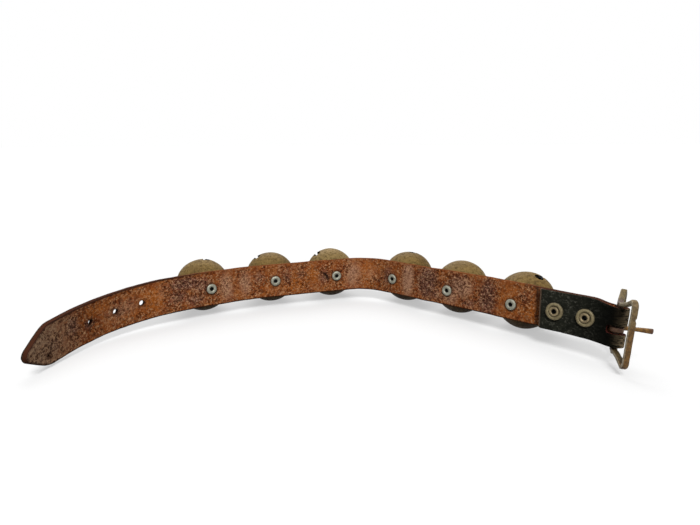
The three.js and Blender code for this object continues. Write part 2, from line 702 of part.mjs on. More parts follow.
const part = new THREE.Group();
part.add(piece('strap', toGeometry(makeStrap()), leather));
addBells(part);
addFoldRivets(part);
addBuckle(part);

// The origin lies under the middle of the part, on the surface that the bells stand on
part.updateMatrixWorld(true);
const box = new THREE.Box3().setFromObject(part, true);
const middle = box.getCenter(new THREE.Vector3());
part.position.set(-middle.x, -middle.y, -box.min.z);

export default part;
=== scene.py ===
"""The looks of a leather strap of sleigh bells.

The object's lengths are in millimetres, the stage's in metres, and angles in degrees."""

import json
import math

import bpy
import numpy as np
from mathutils import Matrix, Vector, noise
from mathutils.kdtree import KDTree


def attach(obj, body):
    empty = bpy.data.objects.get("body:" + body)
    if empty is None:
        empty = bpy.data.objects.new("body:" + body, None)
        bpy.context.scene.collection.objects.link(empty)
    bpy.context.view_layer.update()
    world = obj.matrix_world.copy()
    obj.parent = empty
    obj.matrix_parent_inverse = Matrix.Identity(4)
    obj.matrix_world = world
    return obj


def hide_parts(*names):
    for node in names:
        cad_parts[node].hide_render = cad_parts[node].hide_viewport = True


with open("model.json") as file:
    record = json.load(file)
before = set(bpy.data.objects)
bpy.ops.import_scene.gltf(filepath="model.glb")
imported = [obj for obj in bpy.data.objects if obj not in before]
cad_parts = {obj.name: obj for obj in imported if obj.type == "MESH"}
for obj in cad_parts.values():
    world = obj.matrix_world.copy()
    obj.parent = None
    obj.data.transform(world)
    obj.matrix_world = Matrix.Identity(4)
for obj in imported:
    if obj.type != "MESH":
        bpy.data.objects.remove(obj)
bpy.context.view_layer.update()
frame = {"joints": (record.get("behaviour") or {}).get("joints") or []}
joints = {j["name"]: j for j in frame["joints"]}

MM = 0.001
GAP = 0.3

# Leather strap
WIDTH, FOLD_WIDTH, TURN_WIDTH, THICKNESS, FOLD_THICKNESS = 26.3, 25.4, 24.0, 3.8, 2.3
TIP_LENGTH, TIP_SHOULDER, TIP_NOSE = 17.0, 4.5, 5.0
HOLES = [51.6 + 19.05 * i for i in range(3)]
BELLS = [140.5 + 50.8 * i for i in range(6)]
FOLD_RIVETS = [426.5, 445.55]
PIN_HOLE, PIN_HOLE_DROP = 17.0, 6.5
HOLE_RADIUS, PIN_HOLE_RADIUS, BELL_HOLE_RADIUS, FOLD_HOLE_RADIUS = 1.95, 0.9, 2.4, 2.2
FLAP, BAR, EASE, TURN_SAG = 415.7, 462.55, 11.0, 1.9
FLAP_SLANT = math.tan(math.radians(5))
START_HEADING = 83.8
# the course in plan: lengths with the turn of each, from the tip to the bar
RUNS = [(42.0, -12.0), (66.0, -39.3), (22.0, 0.0)]
for bell_turn in (-13.5, -2.9, -58.3, 1.4, -3.7):
    RUNS += [(21.0, 0.0), (29.8, bell_turn)]
TIP_LEAN, BELL_LEAN, BUCKLE_LEAN = -4.9, 4.4, 7.6
CLIMB, CLIMB_START, CLIMB_ROUNDING, FALL_ROUNDING = 0.014, 215.0, 40.0, 15.0

# Bells
BELL_RADIUS, BELL_WALL, BELL_SEAT, BELL_BORE = 20.4, 1.8, 10.5, 2.5
# each bell's turn on its rivet, and the angle from its crown to the ends of its slit
SLITS = ((11, 93), (-31, 90), (-34, 92), (4, 85), (90, 85), (25, 93))
SLIT_HALF, END_HOLE_RADIUS, PELLET_RADIUS, PELLET_GAP = 1.3, 3.2, 4.5, 0.8
BRIGHT = (0.1, 0.0, 0.6, 0.0, 0.2, 0.1)    # how bright each bell is worn
SEAT_DEPTH = math.sqrt(BELL_RADIUS ** 2 - BELL_SEAT ** 2)
BELL_FLOOR = SEAT_DEPTH - BELL_WALL
BELL_PLACE = THICKNESS + GAP + SEAT_DEPTH

# Tubular rivets: bore, its depth, the roll's radius and height, shank; then the head and its depth
BELL_RIVET, BELL_HEAD, BELL_HEAD_DEPTH = (1.35, 4.5, 3.9, 1.1, 2.1), 4.5, 1.4
FOLD_RIVET, FOLD_HEAD, FOLD_HEAD_DEPTH = (1.45, 5.0, 3.15, 0.9, 1.9), 5.5, 1.8

# Buckle
BAR_RADIUS, TUNNEL_RADIUS = 1.9, 3.2
BAR_PLACE = -GAP / 2


def smooth(x, low, high):
    """0 up to low, 1 from high on, and an S between them."""
    t = min(max((x - low) / (high - low), 0.0), 1.0)
    return t * t * (3 - 2 * t)


def soft_ramp(x, rounding):
    """0 below zero and x above it, with the corner rounded."""
    if x <= -rounding:
        return 0.0
    return x if x >= rounding else (x + rounding) ** 2 / (4 * rounding)


def course(station):
    """Place and heading in plan at a distance from the tip."""
    x = y = 0.0
    heading = math.radians(START_HEADING)
    left = station
    for length, turn in RUNS:
        run = min(left, length)
        half = math.radians(turn) * run / length / 2
        chord = run * math.sin(half) / half if half else run
        x += chord * math.cos(heading + half)
        y += chord * math.sin(heading + half)
        heading += 2 * half
        left -= run
    return x + left * math.cos(heading), y + left * math.sin(heading), heading


def climb(station):
    """How far the strap has risen towards the buckle."""
    return CLIMB * soft_ramp(station - CLIMB_START, CLIMB_ROUNDING)


def strap_axes(station):
    """Origin on the flesh side's middle line, then the directions along, through and across the strap."""
    x, y, heading = course(station)
    seat = BELLS[0] - BELL_SEAT
    bell_height = BELL_RADIUS + BELL_PLACE * math.sin(math.radians(BELL_LEAN))
    tip_height = WIDTH / 2 * math.cos(math.radians(TIP_LEAN))
    fall_start = seat - FALL_ROUNDING
    fall = (bell_height - tip_height) / fall_start
    z = bell_height - fall * soft_ramp(fall_start - station, FALL_ROUNDING) + climb(station)
    z -= TURN_SAG * smooth(station, FOLD_RIVETS[-1], BAR)
    lean = TIP_LEAN + (BELL_LEAN - TIP_LEAN) * smooth(station, 0, seat)
    lean += (BUCKLE_LEAN - lean) * smooth(station, BELLS[-1] + BELL_SEAT, FLAP)
    lean = math.radians(lean)
    along = np.array([math.cos(heading), math.sin(heading), 0.0])
    level = np.array([-math.sin(heading), math.cos(heading), 0.0])
    up = np.array([0.0, 0.0, 1.0])
    through = level * math.cos(lean) - up * math.sin(lean)
    across = up * math.cos(lean) + level * math.sin(lean)
    return np.array([x, y, z]), along, through, across


def bell_axes(index):
    """The strap's axes at a bell, lowered by its climb, because all bells stand on the floor."""
    origin, along, through, across = strap_axes(BELLS[index])
    drop = climb(BELLS[index]) / math.cos(math.radians(BELL_LEAN))
    return origin - across * drop, along, through, across


first = bell_axes(0)
SHIFT = np.array(joints["bell_1_turn"]["pos_m"]) / MM - (first[0] + first[2] * BELL_PLACE)


def noise_at(x, y, z, seed=0.0):
    return noise.noise(Vector((x + 7.3 * seed, y - 3.1 * seed, z + 5.7 * seed)))


# Meshes


def add(name, data):
    """A new object in the scene."""
    made = bpy.data.objects.new(name, data)
    bpy.context.scene.collection.objects.link(made)
    return made


def new_object(name, points, faces):
    """A mesh object from points in millimetres in the strap's plan."""
    mesh = bpy.data.meshes.new(name)
    mesh.from_pydata([tuple(p) for p in (np.asarray(points) + SHIFT) * MM], [], faces)
    mesh.validate()
    return add(name, mesh)


def finish_mesh(made, angle=38):
    made.data.shade_smooth()
    made.data.set_sharp_from_angle(angle=math.radians(angle))
    return made


def cut(made, cutters, operation="DIFFERENCE"):
    for cutter in cutters:
        modifier = made.modifiers.new("cut", "BOOLEAN")
        modifier.object = cutter
        modifier.operation = operation
        modifier.solver = "EXACT"
    graph = bpy.context.evaluated_depsgraph_get()
    mesh = bpy.data.meshes.new_from_object(made.evaluated_get(graph))
    made.modifiers.clear()
    made.data = mesh
    for cutter in cutters:
        bpy.data.objects.remove(cutter)


def lathe_mesh(outline, segments, place, wobble=0.0, seed=0.0):
    """Points and faces of an outline of (radius, height) pairs turned about an axis.

    place maps (x, height, z) to a point. An outline that doesn't end on the axis closes on itself."""
    points, faces, rings = [], [], []
    for radius, height in outline:
        if radius < 1e-6:
            rings.append([len(points)])
            points.append(place(0.0, height, 0.0))
            continue
        ring = []
        for k in range(segments):
            angle = 2 * math.pi * k / segments
            c, s = math.cos(angle), math.sin(angle)
            grow = radius + wobble * noise_at(c * 1.3, s * 1.3, height * 0.5, seed)
            ring.append(len(points))
            points.append(place(grow * s, height, grow * c))
        rings.append(ring)
    closed = len(rings[0]) > 1 and len(rings[-1]) > 1
    pairs = list(zip(rings, rings[1:])) + ([(rings[-1], rings[0])] if closed else [])
    for a, b in pairs:
        for k in range(segments):
            n = (k + 1) % segments
            if len(a) == 1:
                faces.append((a[0], b[n], b[k]))
            elif len(b) == 1:
                faces.append((a[k], a[n], b[0]))
            else:
                faces.append((a[k], a[n], b[n], b[k]))
    return points, faces


def outward(made):
    """Turns a closed mesh's faces outward."""
    mesh = made.data
    mesh.calc_loop_triangles()
    co = np.array([v.co for v in mesh.vertices])
    a, b, c = co[np.array([tuple(t.vertices) for t in mesh.loop_triangles]).T]
    if np.sum(a * np.cross(b, c)) < 0:
        mesh.flip_normals()
    return made


def turned(name, *shape):
    """A solid of revolution, from what lathe_mesh takes."""
    return outward(new_object(name, *lathe_mesh(*shape)))


def prism(name, points):
    """A solid between two outlines of equal count, given one after the other."""
    n = len(points) // 2
    faces = [tuple(range(n)), tuple(range(2 * n - 1, n - 1, -1))]
    faces += [(k, k + n, (k + 1) % n + n, (k + 1) % n) for k in range(n)]
    return outward(new_object(name, points, faces))


def set_attribute(made, name, values, kind="FLOAT", domain="POINT"):
    layer = made.data.attributes.new(name, kind, domain)
    key = "vector" if kind == "FLOAT_VECTOR" else "value"
    layer.data.foreach_set(key, np.ascontiguousarray(values, np.float32).ravel())


def local(made, axes):
    """The places of a mesh's points along three axes, from their origin."""
    co = np.array([v.co for v in made.data.vertices]) / MM - SHIFT - axes[0]
    return np.stack([co @ axis for axis in axes[1:]], 1)


def lay_out(made, axes, shift=0.0):
    """Gives a mesh the places that its material's patterns follow."""
    places = local(made, axes)
    set_attribute(made, "lay", places + shift, "FLOAT_VECTOR")
    return places


def faces_of(made, origin):
    """The middles of a mesh's faces, from an origin, and their directions."""
    middles = np.array([p.center for p in made.data.polygons]) / MM - SHIFT - origin
    return middles, np.array([p.normal for p in made.data.polygons])


def carry(made, points, **values):
    """Gives a cut mesh the values that its points had before."""
    tree = KDTree(len(points))
    for i, p in enumerate((np.array(points) + SHIFT) * MM):
        tree.insert(p, i)
    tree.balance()
    near = [tree.find(v.co)[1] for v in made.data.vertices]
    for name, value in values.items():
        value = np.array(value)[near]
        set_attribute(made, name, value, "FLOAT_VECTOR" if value.ndim > 1 else "FLOAT")
    return near


def frame_place(axes):
    """A function that gives the point at three distances along the axes."""
    origin, along, through, across = axes
    return lambda x, y, z: origin + along * x + through * y + across * z


def rounded_section(half_width, half_depth, radius, across_steps, corner_steps):
    """A rounded oblong as (across, depth) pairs."""
    a, b = half_width - radius, half_depth - radius
    pairs = []
    for sa, sb, start in ((1, 1, 0), (-1, 1, 90), (-1, -1, 180), (1, -1, 270)):
        for k in range(corner_steps + 1):
            angle = math.radians(start + 90 * k / corner_steps)
            pairs.append((sa * a + radius * math.cos(angle), sb * b + radius * math.sin(angle)))
        if start in (0, 180):
            for k in range(1, across_steps):
                pairs.append((sa * a * (1 - 2 * k / across_steps), sb * half_depth))
    return pairs


def sweep_faces(count, sides, closed):
    """The faces between rows of points, with an end face at each end of an open run."""
    faces = []
    for i in range(count if closed else count - 1):
        here, after = i * sides, (i + 1) % count * sides
        for k in range(sides):
            n = (k + 1) % sides
            faces.append((here + k, here + n, after + n, after + k))
    if not closed:
        last = (count - 1) * sides
        faces += [tuple(range(sides - 1, -1, -1)), tuple(range(last, last + sides))]
    return faces


# Leather

STRAP_STEP = 1.1
ACROSS_STEPS = 30
TURN_STEPS = 22
EDGE_RADIUS = 0.75
SLOT_HALF, SLOT_BEHIND, SLOT_DROP, SLOT_CORNER = 2.5, 4.4, 1.6, 1.5
SKIVE, SKIVE_DEPTH = 1.7, 1.3    # how far from its end the flap is thinned, and by how much
# Where the flesh side is worn pale, stained dark or worn to a warm orange:
# station, place across, half length, half width, strength
PALE = (
    (152, 0, 7, 14, 0.7), (167, 1, 6, 12, 0.7), (256, 0, 9, 14, 0.65), (308, 1, 6, 16, 1.0),
    (346, -5, 8, 8, 0.85), (356, 3, 9, 9, 0.95), (74, 0, 18, 9, 0.5), (40, -6, 12, 5, 0.4),
    (104, 4, 5, 9, 0.4), (272, 0, 9, 10, 0.45),
)
DARK = (
    (37, 3, 6, 7, 0.8), (21, -2, 6, 6, 0.7), (121, 7, 12, 5, 1.0), (115, -2, 9, 8, 0.6),
    (133, 4, 9, 7, 0.7), (326, 2, 9, 14, 1.0), (376, -2, 7, 15, 0.95), (287, 0, 5, 11, 0.6),
    (201, 2, 6, 9, 0.55), (232, 0, 6, 8, 0.6), (178, 4, 7, 7, 0.5), (350, 4, 10, 8, 0.6),
    (128, -6, 10, 6, 0.6), (403, 4, 7, 9, 0.4), (212, 3, 6, 8, 0.45), (334, -6, 8, 6, 0.6),
    (362, -8, 8, 5, 0.6), (50, -1, 4, 4, 0.8),
)
WARM = (
    (58, 6, 16, 5, 0.7), (97, 0, 9, 10, 1.0), (82, -6, 12, 7, 0.5), (206, -3, 12, 10, 0.8),
    (222, 2, 8, 10, 0.7), (270, 0, 9, 12, 0.8), (184, -4, 8, 8, 0.5), (394, 0, 12, 12, 0.7),
    (410, -4, 8, 10, 0.8), (296, -4, 6, 10, 0.5),
)
# the crack's course on the flesh side: station, place across, half width
CRACK = (
    (231.6, 2.6, 0.1), (232.6, 1.6, 0.35), (234.2, 0.6, 0.4), (233.6, -0.6, 0.45), (235.4, -1.8, 0.35),
    (234.9, -3.4, 0.1),
)


def half_width_at(station):
    """Half the strap's width: a round nose, straight sides to the shoulder, trimmed towards the fold."""
    half, nose = WIDTH / 2, TIP_NOSE
    reach = TIP_LENGTH - nose
    slope = math.atan2(half, reach) - math.asin(nose / math.hypot(half, reach))
    if station < nose * (1 - math.sin(slope)):
        return math.sqrt(nose ** 2 - (nose - station) ** 2)
    shoulder = math.tan(slope) * soft_ramp(TIP_LENGTH - station, TIP_SHOULDER)
    fold = half + (FOLD_WIDTH / 2 - half) * smooth(station, BELLS[-1] + BELL_SEAT, FLAP)
    return fold + (TURN_WIDTH / 2 - fold) * smooth(station, FOLD_RIVETS[-1], BAR) - shoulder


def strap_rows():
    """Rows along the strap: place, direction across, half width, thickness and a running station."""
    bulge = TUNNEL_RADIUS + BAR_PLACE
    stations = [TIP_NOSE * (1 - math.cos(math.radians(9 * k))) for k in range(1, 10)]
    steps = round((TIP_LENGTH - stations[-1]) / STRAP_STEP)
    stations += [stations[-1] + (TIP_LENGTH - stations[-1]) * k / steps for k in range(1, steps + 1)]
    steps = round((BAR - TIP_LENGTH) / STRAP_STEP)
    stations += [TIP_LENGTH + (BAR - TIP_LENGTH) * k / steps for k in range(1, steps + 1)]
    rows = []

    def layer(station, side):
        ease = smooth(station, BAR - EASE, BAR)
        thickness = THICKNESS + (FOLD_THICKNESS - THICKNESS) * ease
        origin, _, through, across = strap_axes(station)
        if side > 0:
            place = ease * bulge + thickness / 2
        else:
            place = -GAP - ease * bulge - thickness / 2
        return origin + through * place, across, half_width_at(station), thickness

    for station in stations:
        rows.append((*layer(station, 1), station))
    origin, along, through, across = strap_axes(BAR)
    turn = TUNNEL_RADIUS + FOLD_THICKNESS / 2
    for k in range(1, TURN_STEPS):
        angle = math.pi / 2 - math.pi * k / TURN_STEPS
        centre = origin + along * turn * math.cos(angle) + through * (BAR_PLACE + turn * math.sin(angle))
        station = BAR + math.pi * turn * k / TURN_STEPS
        rows.append((centre, across, TURN_WIDTH / 2, FOLD_THICKNESS, station))
    for station in reversed([s for s in stations if s > FLAP]):
        rows.append((*layer(station, -1), 2 * BAR + math.pi * turn - station))
    rows.append((*layer(FLAP, -1), 2 * BAR + math.pi * turn - FLAP))
    return rows


def make_strap():
    rows = strap_rows()
    last = rows[-1]
    end_run = last[0] - rows[-2][0]
    rows.append((last[0] + end_run / np.linalg.norm(end_run) * 0.03, *last[1:]))
    rows = [row for row in rows if not last[4] - SKIVE < row[4] < last[4] - 0.01]
    centres = np.array([r[0] for r in rows])
    points, lay, side, end = [], [], [], []
    for i, (centre, across, half, thickness, station) in enumerate(rows):
        run = centres[min(i + 1, len(rows) - 1)] - centres[max(i - 1, 0)]
        through = np.cross(across, run)
        through /= np.linalg.norm(through)
        radius = min(EDGE_RADIUS, half * 0.6)
        depth = thickness / 2
        at_end = i > len(rows) - 3
        for a, b in rounded_section(half, depth, radius, ACROSS_STEPS, 5):
            share = a / half
            edge = smooth(abs(share), 0.75, 1.0)
            wander = 0.28 * noise_at(station / 17, 3.0 * np.sign(share), 0.5)
            wander += 0.1 * noise_at(station / 4, share, 2.5)
            wander *= smooth(station, 0, 8)
            swell = 0.16 * noise_at(station / 13, a / 8, b, 1)
            swell += 0.07 * noise_at(station / 3.5, a / 3, b, 2)
            dome = 0.10 * (1 - share ** 2)
            thin = SKIVE_DEPTH * (at_end and b > 0)
            slant = a * FLAP_SLANT * smooth(station, last[4] - 7, last[4])
            points.append(centre + across * (a + edge * np.sign(share) * wander)
                          + run / np.linalg.norm(run) * slant
                          + through * (b - thin + np.sign(b) * (1 - edge) * (swell + dome - 0.12)))
            lay.append((station, a, b))
            side.append(b / depth)
            end.append(float(at_end))
    sides = len(points) // len(rows)
    strap = outward(new_object("strap_leather", points, sweep_faces(len(rows), sides, False)))
    cut(strap, strap_cutters())
    near = carry(strap, points, lay=lay, side=side, end=end)
    mark_strap(strap, np.array(lay)[near])
    return finish_mesh(strap, 50)


def strap_cutters():
    """The holes, the tongue's slot and the crack."""
    cutters = []

    def drill(name, axes, radius, low, high, drop=0.0, flare=0.0):
        origin, along, through, across = axes
        place = frame_place((origin - across * drop, along, through, across))
        outline = [(0, low), (radius + flare, low), (radius + flare * 0.4, -0.2), (radius, 0.8),
                   (radius, high), (0, high)]
        cutters.append(turned(name, outline, 28, place, 0.12, low + drop + len(cutters)))

    high = THICKNESS + 2
    for i, station in enumerate(HOLES):
        drill(f"hole_{i}", strap_axes(station), HOLE_RADIUS, -2, high, 0, 0.25)
    drill("pin_hole", strap_axes(PIN_HOLE), PIN_HOLE_RADIUS, -2, high, PIN_HOLE_DROP, 0.1)
    for i in range(len(BELLS)):
        drill(f"bell_hole_{i}", bell_axes(i), BELL_HOLE_RADIUS, -2, high)
    for i, station in enumerate(FOLD_RIVETS):
        drill(f"fold_hole_{i}", strap_axes(station), FOLD_HOLE_RADIUS, -THICKNESS - 3, high)
    return cutters + [slot_cutter(), crack_cutter()]


def slot_cutter():
    """The tongue's slot, which runs round the fold."""
    origin, along, through, across = strap_axes(BAR)
    reach = TUNNEL_RADIUS + FOLD_THICKNESS + 2
    shape = [(reach, -SLOT_HALF), (reach, SLOT_HALF)]
    for centre, start in ((SLOT_HALF - SLOT_CORNER, 90), (SLOT_CORNER - SLOT_HALF, 180)):
        for k in range(7):
            angle = math.radians(start + 15 * k)
            shape.append((SLOT_CORNER * (1 + math.cos(angle)) - SLOT_BEHIND,
                          centre + SLOT_CORNER * math.sin(angle)))
    points = []
    for depth in (-reach, reach):
        for x, z in shape:
            points.append(origin + along * x + through * (BAR_PLACE + depth) + across * (z - SLOT_DROP))
    return prism("slot", points)


def crack_cutter():
    """A short ragged crack in the flesh side, wide at the surface and closing below it."""
    points = []
    for depth, share in ((-0.8, 1.0), (0.9, 0.35)):
        for side in (1, -1):
            for station, place, half in CRACK[::side]:
                origin, _, through, across = strap_axes(station + side * half * share)
                points.append(origin + through * depth + across * place)
    return prism("crack", points)


def patches(lay, table):
    """The strongest of a table's soft spots at each point."""
    value = np.zeros(len(lay))
    for station, place, length, width, strength in table:
        away = ((lay[:, 0] - station) / length) ** 2 + ((lay[:, 1] - place) / width) ** 2
        value = np.maximum(value, strength * np.exp(-away))
    return value


def mark_strap(strap, lay):
    """Marks where the leather is worn, stained, folded, cut or cracked, and where shade is painted: the
    flap's shadow, inside the crack, in and round the holes and rivets, and on the slot's walls.
    """
    station, place, depth = lay.T

    def mark(name, values, domain="POINT"):
        set_attribute(strap, name, values, domain=domain)

    for name, table in (("pale", PALE), ("dark", DARK), ("warm", WARM)):
        mark(name, patches(lay, table))
    mark("tip", np.clip((46 - station) / 34, 0, 1))
    mark("dull", np.clip(np.maximum((150 - station) / 40, (station - 400) / 20), 0, 1))
    crest = np.exp(-((station - BAR - 8.0) / 3.4) ** 2)
    mark("fold", crest * np.where(place > 0, 0.5, 1.0))
    mark("black", np.clip(1 - (station - BAR - 16) / 26, 0, 1) * (station > BAR))

    outline = [(s, half_width_at(s)) for s in np.linspace(0.01, 40, 200)]
    away = np.min([np.hypot(station - s, np.abs(place) - half) for s, half in outline], axis=0)
    border = np.clip(1.5 - away / 1.1, 0, 1) * np.clip((30 - station) / 8, 0, 1)
    mark("border", border * np.where(place < 0, 1.0, 0.65) * (depth < 0))
    # painted shadow of the flap's end: a dark band on the flesh side just short of the flap
    step = station - FLAP + 2.9 + place * FLAP_SLANT
    mark("step", np.exp(-(step / 1.3) ** 2) * (depth < 0))

    # painted shade: the crack and a narrow band round it are darkened on the flesh side
    ends = [np.array([s, a]) for s, a, _ in CRACK]
    steps = [a + (b - a) * share for a, b in zip(ends, ends[1:]) for share in np.linspace(0, 1, 6)]
    away = np.min([np.hypot(station - s, place - a) for s, a in steps], axis=0)
    mark("crack", np.clip(1.4 - away / 0.8, 0, 1) * (depth < 0))

    # painted shade: darker in and round the holes and round the feet of the bell rivets
    holes = [(s, 2.0, 0) for s in HOLES] + [(PIN_HOLE, 1.4, PIN_HOLE_DROP)]
    holes += [(s, 4.0, climb(s)) for s in BELLS]
    away = np.min([np.hypot(station - s, place + drop) - radius for s, radius, drop in holes], axis=0)
    mark("rim", np.clip(1 - away / 1.6, 0, 1))

    # painted shade: the slot's walls are marked to be painted dark
    origin, along, through, across = strap_axes(BAR)
    middles, facing = faces_of(strap, origin)
    within = np.abs(middles @ across + SLOT_DROP) < SLOT_HALF + 0.05
    within &= (middles @ along > -SLOT_BEHIND - 0.2) & (np.abs(facing @ through) < 0.6)
    mark("slot", within, "FACE")


# Bells and rivets


def ball_arc(radius, seat, ease, steps):
    """A ball's outline from the edge of its flat seat to its crown."""
    start = math.acos(seat / radius) + ease
    angles = [start + (math.pi - start) * k / steps for k in range(steps + 1)]
    return [(radius * math.sin(a), -radius * math.cos(a)) for a in angles]


def bell_cutters(axes, reach, number):
    """The hollow, the rivet's hole, the slit and the round hole at each end of the slit."""
    centre, east, through, north = axes
    plain = frame_place(axes)
    inside = BELL_RADIUS - BELL_WALL
    cutters = [turned("hollow", [(0.0, -BELL_FLOOR)] + ball_arc(inside, BELL_FLOOR, 0.0, 24), 56, plain)]
    low, high = -SEAT_DEPTH - 2, -BELL_FLOOR + 2
    cutters.append(turned("bore", [(0, low), (BELL_BORE, low), (BELL_BORE, high), (0, high)], 32, plain))
    low, high = BELL_RADIUS * math.cos(reach), BELL_RADIUS + 3
    side = ((low, -high), (low, high), (high, high), (high, -high))
    cutters.append(prism("slit", [plain(x, y, z) for x in (-SLIT_HALF, SLIT_HALF) for y, z in side]))
    low = inside - 3
    hole = [(0, low), (END_HOLE_RADIUS, low), (END_HOLE_RADIUS, high), (0, high)]
    c, s = math.cos(reach), math.sin(reach)
    for way in (1, -1):
        end = frame_place((centre, east, through * c + north * way * s, north * c - through * way * s))
        cutters.append(turned(f"end_{way}", hole, 36, end, 0.1, way + number))
    return cutters


def make_bell(index):
    origin, along, through, across = bell_axes(index)
    turn, reach = (math.radians(v) for v in SLITS[index])
    centre = origin + through * BELL_PLACE
    east = along * math.cos(turn) - across * math.sin(turn)
    north = along * math.sin(turn) + across * math.cos(turn)
    axes = (centre, east, through, north)
    number = index + 1

    def dented(x, y, z):
        p = np.array([x, y, z])
        dent = 0.16 * noise_at(*(p / 13), number) + 0.05 * noise_at(*(p / 3.5), number)
        radius = max(np.linalg.norm(p), 1.0)
        grow = 1 + (dent - 0.08) / radius * smooth(y, -SEAT_DEPTH + 0.5, -SEAT_DEPTH + 4)
        return centre + (east * x + through * y + north * z) * grow

    outline = [(0.0, -SEAT_DEPTH), (BELL_SEAT - 2.0, -SEAT_DEPTH), (BELL_SEAT - 0.6, -SEAT_DEPTH + 0.06)]
    outline += ball_arc(BELL_RADIUS, SEAT_DEPTH, 0.03, 46)
    bell = turned(f"bell_{number}_globe", outline, 80, dented)
    cut(bell, bell_cutters(axes, reach, number))
    lay_out(bell, axes, 60 * number)
    height = local(bell, (centre, *np.eye(3)))[:, 2]
    # painted shade: the bell's underside is made darker towards the bottom
    set_attribute(bell, "under", np.clip((-height - 3) / 9, 0, 1))
    set_attribute(bell, "bright", np.full(len(height), BRIGHT[index]))
    # painted shade: the faces inside the bell and on the walls of its slit, holes and bore are marked to
    # be painted near black
    middles, facing = faces_of(bell, centre)
    away = np.linalg.norm(middles, axis=1)
    slope = np.sum(middles * facing, axis=1) / away
    within = (away < BELL_RADIUS - BELL_WALL / 2) | (slope < 0.6)
    within &= middles @ through > -SEAT_DEPTH + 0.3
    set_attribute(bell, "inside", within, domain="FACE")
    return finish_mesh(bell, 32)


def make_pellet(index):
    """A rough cast ball that lies in its bell."""
    origin, along, through, across = bell_axes(index)
    lower = BELL_RADIUS - BELL_WALL - PELLET_RADIUS - PELLET_GAP
    centre = origin + through * BELL_PLACE - across * lower
    angles = [math.pi * k / 20 for k in range(21)]
    outline = [(PELLET_RADIUS * math.sin(a), -PELLET_RADIUS * math.cos(a)) for a in angles]

    def rough(x, y, z):
        grow = 1 + 0.03 * noise_at(x / 2.2, y / 2.2, z / 2.2, index + 11)
        return centre + (along * x + through * y + across * z) * grow

    pellet = turned(f"pellet_{index + 1}_ball", outline, 36, rough)
    lay_out(pellet, (centre, *np.eye(3)))
    return finish_mesh(pellet)


def rolled_outline(place, bore, depth, roll, height, shank):
    """The end of a tubular rivet: up from its bore's floor, over the roll and under it to the shank."""
    middle = (bore + roll) / 2
    half = (roll - bore) / 2
    crest = place - height
    outline = [(0.0, crest + depth), (bore * 0.96, crest + depth - 0.2), (bore * 0.97, place + 0.4)]
    for k in range(13):
        angle = math.pi * k / 12
        outline.append((middle - half * math.cos(angle), place - height * math.sin(angle) ** 0.8))
    return outline + [(shank, place)]


def make_rivet(name, axes, outline, seed):
    """A rivet or washer turned about the line through the strap."""
    made = turned(name, outline, 56, frame_place(axes), 0.12, seed)
    places = lay_out(made, axes, 30 * seed)
    set_attribute(made, "radius", np.hypot(places[:, 0], places[:, 2]))
    return finish_mesh(made, 42)


def make_bell_rivet(index):
    head_place = THICKNESS + GAP + BELL_WALL + GAP
    top = head_place + BELL_HEAD_DEPTH
    outline = rolled_outline(-GAP, *BELL_RIVET) + [(BELL_RIVET[-1], head_place), (BELL_HEAD, head_place)]
    outline += [(BELL_HEAD, top - 0.7), (BELL_HEAD - 0.2, top - 0.25), (BELL_HEAD - 0.7, top), (0.0, top)]
    return make_rivet(f"bell_{index + 1}_rivet", bell_axes(index), outline, index + 1)


# places through the strap, from its flesh side: the flap, the washer on it and the washer's dish
FLAP_FACE = -GAP - THICKNESS
WASHER_FACE = FLAP_FACE - GAP - 1.5
DISH = WASHER_FACE + 0.8


def make_fold_rivet(index):
    head_place = THICKNESS + GAP
    outline = rolled_outline(DISH - GAP, *FOLD_RIVET) + [(FOLD_RIVET[-1], head_place)]
    for k in range(13):
        angle = math.pi / 2 * k / 12
        outline.append((FOLD_HEAD * math.cos(angle), head_place + FOLD_HEAD_DEPTH * math.sin(angle)))
    return make_rivet(f"fold_{index + 1}_rivet", strap_axes(FOLD_RIVETS[index]), outline, index + 8)


def make_fold_washer(index):
    back = FLAP_FACE - GAP
    rim = ((3.85, 0.12), (4.1, 0.0), (4.6, -0.02), (5.0, 0.06), (5.35, 0.25), (5.55, 0.6), (5.6, 1.0))
    outline = [(2.2, back), (2.2, DISH), (3.3, DISH), (3.55, DISH - 0.15)]
    outline += [(radius, WASHER_FACE + rise) for radius, rise in rim] + [(5.55, back)]
    return make_rivet(f"fold_{index + 1}_washer", strap_axes(FOLD_RIVETS[index]), outline, index + 11)


# Buckle

OUTER_REACH, OUTER_HEIGHT, OUTER_CORNER = 19.2, 40.6, 3.0
HEEL_REACH, HEEL_HEIGHT, HEEL_CORNER = 17.5, 41.4, 5.0
WAIST_HEIGHT, BEND, BEND_LENGTH = 30.6, 14.7, 5.0
SWING, TILT = -64.8, 2.5
BAND_WIDTH, BAND_DEPTH, BAND_ROUND = 2.6, 3.4, 0.8
NICK_HEIGHT, NICK_HALF, NICK_DEPTH = 9.3, 0.8, 0.5
TONGUE_LENGTH, TONGUE_OPEN, TONGUE_DROP, TONGUE_RISE = 19.0, 92.4, 1.5, 1.4
TONGUE_HALVES = (1.6, 1.2, 1.65)    # at its point, its waist and its root
TONGUE_DEPTH, TONGUE_GAP, TONGUE_LOOP = 2.0, 0.4, 240


def buckle_axes(turn=0.0, lift=0.0):
    """The buckle's own axes: out from its bar, to the grain side, and along the bar."""
    origin, along, through, across = strap_axes(BAR)
    basis = Matrix((along, through, across)).transposed()
    swing = Matrix.Rotation(math.radians(SWING), 3, "Z")
    rotation = basis @ swing @ Matrix.Rotation(math.radians(TILT), 3, "Y")
    centre = origin + through * BAR_PLACE + np.array(rotation.col[2]) * lift
    rotation = rotation @ Matrix.Rotation(math.radians(turn), 3, "Z")
    return centre, *(np.array(rotation.col[k]) for k in range(3))


